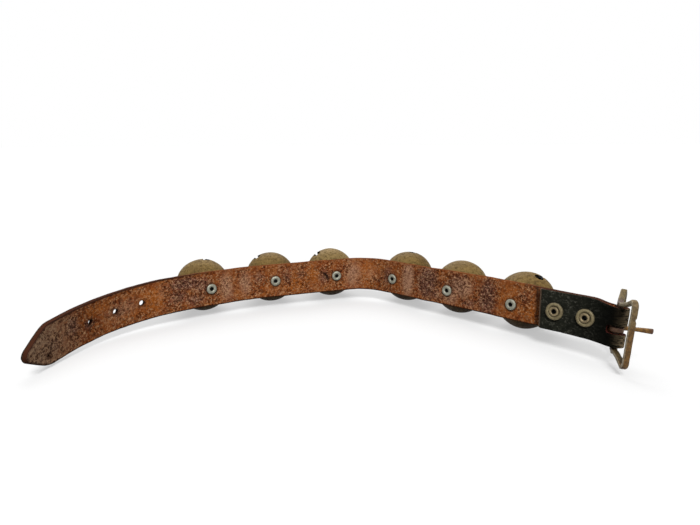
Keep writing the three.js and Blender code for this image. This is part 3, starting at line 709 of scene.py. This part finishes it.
def make_buckle():
    """A band bent round a waisted oblong and again at the round bar across it."""
    outer_top, heel_top, waist = ((h - BAND_WIDTH) / 2 for h in (OUTER_HEIGHT, HEEL_HEIGHT, WAIST_HEIGHT))
    outer = (OUTER_REACH - OUTER_CORNER, outer_top, OUTER_CORNER)
    heel = (HEEL_CORNER - HEEL_REACH, heel_top, HEEL_CORNER)
    path = []

    def corner(end, up, start):
        x, top, radius = end
        for k in range(13):
            angle = math.radians(start + 90 * k / 12)
            c, s = math.cos(angle), math.sin(angle)
            path.append((x + radius * c, up * (top - radius) + radius * s, c, s))

    def rail(start, end, up):
        for k in range(1, 24):
            x = start[0] + (end[0] - start[0]) * k / 24
            near = start if x * start[0] > 0 else end
            path.append((x, up * (waist + (near[1] - waist) * (x / near[0]) ** 2), 0.0, up))

    def side(end, up, steps):
        x, top, radius = end
        way = math.copysign(1.0, x)
        for k in range(1, steps):
            path.append((x + way * radius, up * (top - radius) * (1 - 2 * k / steps), way, 0.0))

    corner(outer, 1, 0)
    rail(outer, heel, 1)
    corner(heel, 1, 90)
    side(heel, 1, 18)
    corner(heel, -1, 180)
    rail(heel, outer, -1)
    corner(outer, -1, 270)
    side(outer, -1, 40)
    place = frame_place(buckle_axes())
    points, face = [], []
    half_width, half_depth = BAND_WIDTH / 2, BAND_DEPTH / 2
    section = rounded_section(half_width, half_depth, BAND_ROUND, 3, 5)
    radius = BEND_LENGTH / math.radians(BEND)
    for x, z, nx, nz in path:
        bent = min(max(x, -BEND_LENGTH), BEND_LENGTH)
        bend = bent / radius
        along = np.array([math.cos(bend), math.sin(bend), 0.0])
        facing = np.array([-math.sin(bend), math.cos(bend), 0.0])
        out = along * nx + np.array([0.0, 0.0, nz])
        centre = np.array([radius * math.sin(bend), radius * (1 - math.cos(bend)), z])
        centre += along * (x - bent)
        nick = NICK_DEPTH * math.exp(-((z - NICK_HEIGHT) / NICK_HALF) ** 2) * (x > OUTER_REACH - 0.1)
        for a, b in section:
            p = centre + out * a + facing * b
            worn = 0.12 * noise_at(*(p / 4), 4) + 0.05 * noise_at(*(p / 1.3), 5) - nick * (b > 0)
            points.append(place(*(p + (out * a / half_width + facing * b / half_depth) * worn)))
            face.append(b / half_depth)
    buckle = outward(new_object("buckle_bent_frame", points, sweep_faces(len(path), len(section), True)))
    half_bar = [(0, waist), (BAR_RADIUS + 0.05, waist), (BAR_RADIUS, waist - 3)]
    bar = [(radius, -height) for radius, height in half_bar] + half_bar[::-1]
    origin, out, facing, up = buckle_axes()
    cut(buckle, [turned("bar", bar, 32, frame_place((origin, out, up, facing)))], "UNION")
    carry(buckle, points, face=face)
    lay_out(buckle, buckle_axes())
    return finish_mesh(buckle, 42)


def make_tongue():
    """A tapered arm from its point to the bar, and a loop part way round it."""
    loop = BAR_RADIUS + TONGUE_GAP + TONGUE_DEPTH / 2
    tip, waist, root = TONGUE_HALVES
    path = []
    for k in range(25):
        t = k / 24
        point = np.array([TONGUE_LENGTH * (1 - t), loop * t * (2 - t)])
        half = tip + (waist - tip) * 2 * t if t < 0.5 else waist + (root - waist) * (2 * t - 1)
        path.append((point, half, TONGUE_RISE * (1 - t)))
    for k in range(1, 37):
        angle = math.radians(90 + TONGUE_LOOP * k / 36)
        path.append((loop * np.array([math.cos(angle), math.sin(angle)]), root, 0.0))
    place = frame_place(buckle_axes(TONGUE_OPEN, -TONGUE_DROP))
    points, sections = [], 0
    for i, (point, half, rise) in enumerate(path):
        run = path[min(i + 1, len(path) - 1)][0] - path[max(i - 1, 0)][0]
        run /= np.linalg.norm(run)
        facing = np.array([-run[1], run[0]])
        ends = [(0.0, 1.0)]
        if i == 0:
            ends = [(-0.55, 0.35), (-0.42, 0.72), (-0.2, 0.92), (0.0, 1.0)]
        if i == len(path) - 1:
            ends = [(0.0, 1.0), (0.2, 0.9), (0.3, 0.6)]
        for step, size in ends:
            for a, b in rounded_section(half, TONGUE_DEPTH / 2, min(0.75, half * 0.8), 3, 4):
                p = point + run * step + facing * b * size
                points.append(place(p[0], p[1], rise + a * size))
            sections += 1
    faces = sweep_faces(sections, len(points) // sections, False)
    tongue = outward(new_object("buckle_pin_tongue", points, faces))
    lay_out(tongue, buckle_axes(TONGUE_OPEN, -TONGUE_DROP))
    return finish_mesh(tongue, 50)


# Materials


class Shader:
    """Builds one material's nodes."""

    def __init__(self, name):
        self.material = bpy.data.materials.new(name)
        self.material.use_nodes = True
        self.tree = self.material.node_tree
        self.bsdf = self.tree.nodes["Principled BSDF"]

    def put(self, kind, inputs=None, **settings):
        made = self.tree.nodes.new("ShaderNode" + kind)
        for key, value in settings.items():
            setattr(made, key, value)
        for key, value in (inputs or {}).items():
            self.set(made.inputs[key], value)
        return made

    def set(self, socket, value):
        if isinstance(value, bpy.types.NodeSocket):
            self.tree.links.new(value, socket)
        else:
            socket.default_value = value

    def attribute(self, name):
        made = self.put("Attribute", attribute_name=name)
        return made.outputs["Vector"] if name == "lay" else made.outputs["Fac"]

    def noise(self, vector, scale, detail=4.0, roughness=0.55, distortion=0.0):
        inputs = {"Vector": vector, "Scale": scale, "Detail": detail, "Roughness": roughness}
        return self.put("TexNoise", {**inputs, "Distortion": distortion}).outputs["Fac"]

    def span(self, value, low, high, to_low=0.0, to_high=1.0):
        inputs = {"Value": value, "From Min": low, "From Max": high, "To Min": to_low, "To Max": to_high}
        return self.put("MapRange", inputs, interpolation_type="SMOOTHSTEP").outputs["Result"]

    def math(self, operation, a, b=0.0):
        return self.put("Math", {0: a, 1: b}, operation=operation).outputs[0]

    def mix(self, factor, a, b, blend="MIX"):
        made = self.put("Mix", data_type="RGBA", blend_type=blend)
        for index, value in ((0, factor), (6, a), (7, b)):
            self.set(made.inputs[index], colour(value) if isinstance(value, tuple) else value)
        return made.outputs[2]

    def part(self, vector, axis):
        return self.put("SeparateXYZ", {"Vector": vector}).outputs[axis]

    def times(self, *factors):
        value = factors[0]
        for factor in factors[1:]:
            value = self.math("MULTIPLY", value, factor)
        return value

    def stretch(self, vector, scale):
        return self.put("Mapping", {"Vector": vector, "Scale": scale}).outputs["Vector"]

    def length(self, vector):
        return self.put("VectorMath", {0: vector}, operation="LENGTH").outputs["Value"]

    def bump(self, height, strength, distance, below=None):
        inputs = {"Height": height, "Strength": strength, "Distance": distance * MM}
        if below is not None:
            inputs["Normal"] = below
        return self.put("Bump", inputs).outputs["Normal"]

    def done(self, paint, rough, normal, **plain):
        inputs = {"Base_Color": paint, "Roughness": rough, "Normal": normal, **plain}
        for key, value in inputs.items():
            self.set(self.bsdf.inputs[key.replace("_", " ")], value)
        return self.material

    def metal(self, paint, grit, rough, bump, level):
        """Metal that is as rough and uneven as its grit."""
        return self.done(paint, self.span(grit, 0.3, 0.7, *rough), self.bump(grit, *bump), Metallic=level)


def colour(rgb):
    """Linear colour from the screen's 0 to 255."""
    def linear(c):
        c /= 255
        return c / 12.92 if c <= 0.04045 else ((c + 0.055) / 1.055) ** 2.4
    return (*(linear(c) for c in rgb), 1.0)


def leather_material():
    s = Shader("worn leather")
    lay = s.attribute("lay")
    side = s.attribute("side")
    pale, dark, warm, tip, dull = (s.attribute(n) for n in ("pale", "dark", "warm", "tip", "dull"))
    across = s.part(lay, "Y")
    cloud = s.noise(lay, 0.16, 4.0, 0.6, 0.6)
    blotch = s.noise(lay, 0.34, 4.0, 0.65, 0.8)
    fleck = s.noise(lay, 0.52, 3.0, 0.6, 0.9)
    fine = s.noise(lay, 0.8, 3.0, 0.65, 0.4)
    worm = s.noise(lay, 0.42, 2.0, 0.5, 1.6)
    rugged = s.math("ADD", s.noise(lay, 0.075, 2.0, 0.5), s.times(dark, 0.35))
    rugged = s.math("SUBTRACT", rugged, s.times(warm, 0.14))
    rugged = s.span(rugged, 0.36, 0.66, 0.55, 1.0)

    def patch(mask, strength):
        spread = s.math("ADD", mask, s.times(blotch, 0.5))
        return s.times(s.span(spread, 0.42, 1.05), strength)

    # flesh side: mottled brown with worn, stained and warm places, light fibres and dark specks
    flesh = s.mix(s.span(cloud, 0.36, 0.64), (134, 70, 34), (154, 90, 44))
    flesh = s.mix(patch(warm, 0.9), flesh, (166, 94, 38))
    stain = patch(dark, 1.0)
    flesh = s.mix(s.times(stain, 0.75), flesh, (124, 82, 70))
    flesh = s.mix(patch(pale, 0.9), flesh, (178, 134, 106))
    flesh = s.mix(s.times(tip, s.span(blotch, 0.3, 0.6, 0.6, 0.95)), flesh, (172, 140, 112))
    flesh = s.mix(s.times(tip, s.span(fine, 0.47, 0.6), 0.6), flesh, (202, 176, 148))
    flesh = s.mix(s.times(tip, s.span(fleck, 0.52, 0.62), 0.6), flesh, (92, 66, 50))
    flesh = s.mix(s.times(s.span(fine, 0.5, 0.6), rugged, 0.75), flesh, (198, 154, 114))
    lint = s.span(s.noise(lay, 1.0, 3.0, 0.7, 0.6), 0.5, 0.6)
    flesh = s.mix(s.times(stain, lint, 0.6), flesh, (204, 168, 142))
    soot = s.span(s.noise(lay, 0.7, 3.0, 0.7, 0.9), 0.52, 0.6)
    flesh = s.mix(s.times(stain, soot, 0.6), flesh, (62, 34, 28))
    thick = s.math("ADD", fleck, s.times(dark, 0.06))
    flesh = s.mix(s.times(s.span(thick, 0.5, 0.58), rugged, 0.85), flesh, (124, 98, 88), "MULTIPLY")
    thread = s.span(s.math("ABSOLUTE", s.math("SUBTRACT", worm, 0.5)), 0.01, 0.05, 0.85, 0.0)
    flesh = s.mix(s.times(thread, rugged), flesh, (116, 92, 84), "MULTIPLY")
    # painted shade: a dark line along the lower edge of the flesh side
    flesh = s.mix(s.span(across, -12.6, -11.8, 0.85, 0.0), flesh, (40, 22, 16))
    flesh = s.mix(s.times(s.span(across, 11.6, 12.5, 0.0, 0.85), dull), flesh, (44, 24, 18))
    # border is the tip's own dark border; step paints the flap end's shadow on the strap
    for mark, share, tone in (("border", 0.85, (44, 26, 20)), ("step", 0.9, (26, 14, 12)),
                              # crack paints shade inside the crack
                              ("crack", 0.95, (22, 12, 10))):
        flesh = s.mix(s.times(s.attribute(mark), share), flesh, tone)

    # grain side: near black, scuffed grey, worn tan on the turn of the fold
    scuff = s.noise(s.stretch(lay, (0.7, 1.0, 1.0)), 0.75, 5.0, 0.7, 0.5)
    grain = s.mix(s.span(cloud, 0.35, 0.7), (26, 27, 22), (38, 39, 32))
    grain = s.mix(s.times(s.span(scuff, 0.52, 0.66), 0.75), grain, (84, 83, 74))
    grain = s.mix(s.times(s.attribute("black"), 0.97), grain, (4, 4, 3))
    frayed = s.noise(s.stretch(lay, (0.5, 2.0, 1.0)), 0.6, 4.0, 0.7)
    grain = s.mix(s.times(s.attribute("fold"), s.span(frayed, 0.38, 0.56), 0.95), grain, (138, 120, 94))

    # cut edges: orange brown along the bells, dull and dark at the ends
    fibre = s.noise(s.stretch(lay, (0.25, 1.0, 3.0)), 1.6, 4.0, 0.6)
    edge = s.mix(s.span(fibre, 0.35, 0.68), (108, 60, 28), (132, 76, 38))
    edge = s.mix(s.times(dull, 0.9), edge, (56, 32, 23))
    edge = s.mix(s.times(s.span(blotch, 0.5, 0.64), 0.7), edge, (50, 30, 22))

    paint = s.mix(s.span(side, -0.99, -0.82), flesh, edge)
    paint = s.mix(s.span(side, 0.35, 0.75), paint, grain)
    corner = s.times(s.span(side, -1.0, -0.94), s.span(side, -0.9, -0.7, 1.0, 0.0))
    paint = s.mix(s.times(corner, s.math("ADD", s.times(dull, 0.5), 0.4)), paint, (46, 26, 20))
    # painted shade on the slot's walls
    paint = s.mix(s.times(s.attribute("slot"), 0.9), paint, (60, 26, 22))
    paint = s.mix(s.attribute("end"), paint, (110, 88, 72))
    # painted shade in and round the holes and rivets
    paint = s.mix(s.times(s.attribute("rim"), 0.7), paint, (52, 28, 18))

    rough = s.span(fleck, 0.3, 0.8, 0.95, 0.75)
    normal = s.bump(fleck, 0.7, 0.5)
    normal = s.bump(s.noise(lay, 1.8, 3.0, 0.65), 0.5, 0.2, normal)
    normal = s.bump(blotch, 0.4, 0.5, normal)
    return s.done(paint, rough, normal, Specular_IOR_Level=0.03)


def bell_material():
    s = Shader("aged bell brass")
    lay = s.attribute("lay")
    cloud = s.noise(lay, 0.09, 5.0, 0.6, 0.5)
    speck = s.noise(lay, 0.5, 3.0, 0.65, 0.5)
    fine = s.noise(lay, 0.85, 3.0, 0.7)
    paint = s.mix(s.span(cloud, 0.35, 0.66), (110, 87, 44), (92, 70, 33))
    paint = s.mix(s.attribute("bright"), paint, (136, 114, 72))
    paint = s.mix(s.times(s.span(fine, 0.5, 0.64), 0.6), paint, (136, 112, 64))
    paint = s.mix(s.times(s.span(speck, 0.5, 0.6), 0.65), paint, (66, 50, 24))
    # painted shade on the bell's underside, darker towards the bottom
    paint = s.mix(s.times(s.attribute("under"), s.span(cloud, 0.3, 0.6, 0.6, 0.85)), paint, (34, 22, 15))
    # painted shade: inside the bell is near black
    paint = s.mix(s.attribute("inside"), paint, (20, 16, 12))
    rough = s.span(speck, 0.3, 0.7, 0.55, 0.8)
    normal = s.bump(speck, 0.5, 0.3)
    normal = s.bump(fine, 0.3, 0.15, normal)
    return s.done(paint, rough, normal, Metallic=0.15, Specular_IOR_Level=0.15)


def turned_material(name, bright, dull, grime_and_shade, bore, roll):
    """For rivets: bright and dull in patches, with painted shade in the bore and under the roll."""
    s = Shader(name)
    lay = s.attribute("lay")
    radius = s.attribute("radius")
    cloud = s.noise(lay, 0.5, 5.0, 0.6)
    speck = s.noise(lay, 1.8, 4.0, 0.7)
    paint = s.mix(s.span(cloud, 0.38, 0.64), bright, dull)
    paint = s.mix(s.times(s.span(speck, 0.54, 0.7), 0.6), paint, grime_and_shade)
    # painted shade: near black down the rivet's bore
    paint = s.mix(s.span(radius, bore - 0.1, bore + 0.3, 1.0, 0.0), paint, (14, 12, 10))
    # painted shade where the roll turns under, in the grime colour
    paint = s.mix(s.span(radius, roll - 0.4, roll + 0.05, 0.0, 0.6), paint, grime_and_shade)
    return s.metal(paint, speck, (0.4, 0.62), (0.35, 0.15), 0.4)


def washer_material():
    s = Shader("aged washer brass")
    lay = s.attribute("lay")
    radius = s.attribute("radius")
    cloud = s.noise(lay, 0.4, 5.0, 0.6)
    speck = s.noise(lay, 0.9, 4.0, 0.7)
    paint = s.mix(s.span(cloud, 0.38, 0.64), (128, 116, 84), (106, 94, 66))
    paint = s.mix(s.times(s.span(speck, 0.5, 0.64), 0.5), paint, (80, 70, 48))
    # painted shade in the dish, where the rolled end meets the washer
    paint = s.mix(s.span(radius, 3.1, 3.6, 0.4, 0.0), paint, (64, 54, 38))
    paint = s.mix(s.span(radius, 5.1, 5.65, 0.0, 0.7), paint, (56, 48, 34))
    return s.metal(paint, speck, (0.5, 0.75), (0.3, 0.15), 0.25)


def buckle_material():
    """Light grey on one face, golden brown on the outer side, olive on the rails, rusty at the bar."""
    s = Shader("worn buckle brass")
    lay = s.attribute("lay")
    cloud = s.noise(lay, 0.2, 5.0, 0.6, 0.5)
    speck = s.noise(lay, 0.55, 5.0, 0.7)
    height = s.math("ADD", s.part(lay, "Z"), s.times(cloud, 14.0))
    gold = s.mix(s.span(speck, 0.4, 0.62), (104, 73, 27), (68, 46, 16))
    grey = s.mix(s.span(speck, 0.42, 0.66), (106, 86, 52), (72, 55, 30))
    olive = s.mix(s.span(speck, 0.4, 0.62), (92, 77, 38), (62, 50, 22))
    paint = s.mix(s.span(height, 9.0, 16.0), gold, grey)
    paint = s.mix(s.span(s.part(lay, "X"), 13.0, 16.5, 0.85, 0.0), paint, olive)
    face = s.span(s.attribute("face"), -1.0, -0.8, 0.95, 0.0)
    paint = s.mix(s.times(face, s.span(speck, 0.3, 0.6, 1.0, 0.5)), paint, (172, 160, 134))
    chips = s.span(s.noise(lay, 0.4, 4.0, 0.65), 0.6, 0.68)
    paint = s.mix(s.times(chips, 0.75), paint, (48, 36, 22))
    reach = s.length(s.stretch(lay, (1.0, 1.0, 0.0)))
    paint = s.mix(s.span(reach, 2.5, 5.0, 0.8, 0.0), paint, (58, 34, 26))
    return s.metal(paint, speck, (0.45, 0.7), (0.4, 0.25), 0.25)


def tongue_material():
    """Olive brown, dark at its point and rusty round the bar."""
    s = Shader("worn tongue brass")
    lay = s.attribute("lay")
    speck = s.noise(lay, 0.6, 5.0, 0.7)
    along = s.part(lay, "X")
    paint = s.mix(s.span(speck, 0.4, 0.62), (124, 88, 34), (84, 56, 20))
    paint = s.mix(s.span(along, 16.5, 18.6, 0.0, 0.8), paint, (58, 30, 22))
    paint = s.mix(s.span(along, 2.0, 6.0, 0.8, 0.0), paint, (58, 34, 26))
    return s.metal(paint, speck, (0.45, 0.7), (0.4, 0.25), 0.25)


def pellet_material():
    s = Shader("cast pellet")
    lay = s.attribute("lay")
    speck = s.noise(lay, 1.0, 5.0, 0.7)
    paint = s.mix(s.span(speck, 0.4, 0.65), (84, 80, 74), (62, 46, 36))
    return s.metal(paint, speck, (0.4, 0.7), (0.5, 0.2), 0.6)


def fit(made, material, body, node):
    """Puts a piece in the place of its node."""
    made.data.materials.clear()
    made.data.materials.append(material)
    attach(made, body)
    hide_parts(node)


fit(make_strap(), leather_material(), "strap_body", "strap")
bell_brass = bell_material()
pellet_metal = pellet_material()
rivet_metal = turned_material("dull rivet metal", (158, 157, 142), (128, 127, 112), (72, 70, 58), 1.4, 3.9)
fold_metal = turned_material("fold rivet brass", (138, 122, 90), (104, 90, 64), (56, 46, 32), 1.5, 3.1)
washer_brass = washer_material()
for i in range(len(BELLS)):
    n = i + 1
    fit(make_bell(i), bell_brass, f"bell_{n}", f"bell_shell_{n}")
    fit(make_pellet(i), pellet_metal, f"pellet_{n}", f"bell_pellet_{n}")
    fit(make_bell_rivet(i), rivet_metal, "strap_body", f"bell_rivet_{n}")
for i in range(len(FOLD_RIVETS)):
    n = i + 1
    fit(make_fold_rivet(i), fold_metal, "strap_body", f"fold_rivet_{n}")
    fit(make_fold_washer(i), washer_brass, "strap_body", f"fold_washer_{n}")
fit(make_buckle(), buckle_material(), "buckle", "buckle_frame")
fit(make_tongue(), tongue_material(), "tongue", "buckle_tongue")


# Floor, light and camera

FLOOR_REACH, FLOOR_PLACE = 8.0, -0.00006
FLOOR_SEEN, FLOOR_BOUNCE, FLOOR_GLOW = 0.40, 0.12, 0.48
SHADOW_PATCH = (0.36, 0.26)      # half length and half width of the floor that takes the shadow
# lamps: name, place, aim, size, power in watts
LAMPS = (
    ("key", (-0.2, 1.7, 1.9), (0.0, 0.0, 0.0), 2.6, 46.0),
    ("front", (0.1, -1.5, 1.7), (0.0, 0.0, 0.02), 0.9, 50.0),
)
WORLD_LIGHT = 0.25
LENS, SENSOR = 27.0, 36.0
CAMERA_PITCH, CAMERA_ROLL = -13.3564, -0.25
# in millimetres, from the strap's tip in plan and above the floor
CAMERA_X, CAMERA_Y, CAMERA_HEIGHT = 181.2207, -273.8565, 133.17


def camera_share(tree):
    """1 for rays from the camera, also by way of gloss or glass, and 0 for light that bounces."""
    path = tree.nodes.new("ShaderNodeLightPath")
    total = path.outputs["Is Camera Ray"]
    for name in ("Is Glossy Ray", "Is Transmission Ray"):
        add = tree.nodes.new("ShaderNodeMath")
        add.operation = "MAXIMUM"
        tree.links.new(total, add.inputs[0])
        tree.links.new(path.outputs[name], add.inputs[1])
        total = add.outputs[0]
    return total


def make_floor():
    """Takes the shadow near the object and goes to plain white away from it. It bounces little light."""
    mesh = bpy.data.meshes.new("floor")
    r, z = FLOOR_REACH, FLOOR_PLACE
    mesh.from_pydata([(-r, -r, z), (r, -r, z), (r, r, z), (-r, r, z)], [], [(0, 1, 2, 3)])
    s = Shader("pale floor")
    s.tree.nodes.remove(s.bsdf)
    share = camera_share(s.tree)
    diffuse = s.put("BsdfDiffuse", {"Color": s.span(share, 0.0, 1.0, FLOOR_BOUNCE, FLOOR_SEEN)})
    position = s.put("NewGeometry").outputs["Position"]
    away = s.length(s.stretch(position, (1 / SHADOW_PATCH[0], 1 / SHADOW_PATCH[1], 0.0)))
    glow = s.put("Emission", {"Strength": s.times(s.span(away, 0.8, 1.8, FLOOR_GLOW, 1.0), share)})
    both = s.put("AddShader", {0: diffuse.outputs[0], 1: glow.outputs[0]})
    s.set(s.tree.nodes["Material Output"].inputs["Surface"], both.outputs[0])
    mesh.materials.append(s.material)
    add("floor", mesh)


def make_lights():
    for name, place, aim, size, power in LAMPS:
        lamp = bpy.data.lights.new(name, "AREA")
        lamp.shape = "DISK"
        lamp.size = size
        lamp.energy = power
        made = add(name, lamp)
        made.location = place
        made.rotation_euler = (Vector(aim) - Vector(place)).to_track_quat("-Z", "Y").to_euler()
    world = bpy.data.worlds.new("studio")
    bpy.context.scene.world = world
    world.use_nodes = True
    tree = world.node_tree
    background = tree.nodes["Background"]
    background.inputs["Color"].default_value = (1, 1, 1, 1)
    level = tree.nodes.new("ShaderNodeMapRange")
    tree.links.new(camera_share(tree), level.inputs["Value"])
    level.inputs["To Min"].default_value = WORLD_LIGHT
    tree.links.new(level.outputs["Result"], background.inputs["Strength"])


def make_camera():
    camera = bpy.data.cameras.new("camera")
    camera.sensor_fit = "HORIZONTAL"
    camera.sensor_width = SENSOR
    camera.lens = LENS
    camera.clip_start = 0.01
    pitch = Matrix.Rotation(math.radians(90 + CAMERA_PITCH), 4, "X")
    roll = Matrix.Rotation(math.radians(CAMERA_ROLL), 4, "Z")
    place = Vector(((SHIFT[0] + CAMERA_X) * MM, (SHIFT[1] + CAMERA_Y) * MM, CAMERA_HEIGHT * MM))
    made = add("camera", camera)
    made.matrix_world = Matrix.Translation(place) @ pitch @ roll
    bpy.context.scene.camera = made


make_floor()
make_lights()
make_camera()
bpy.context.scene.view_settings.view_transform = "Standard"
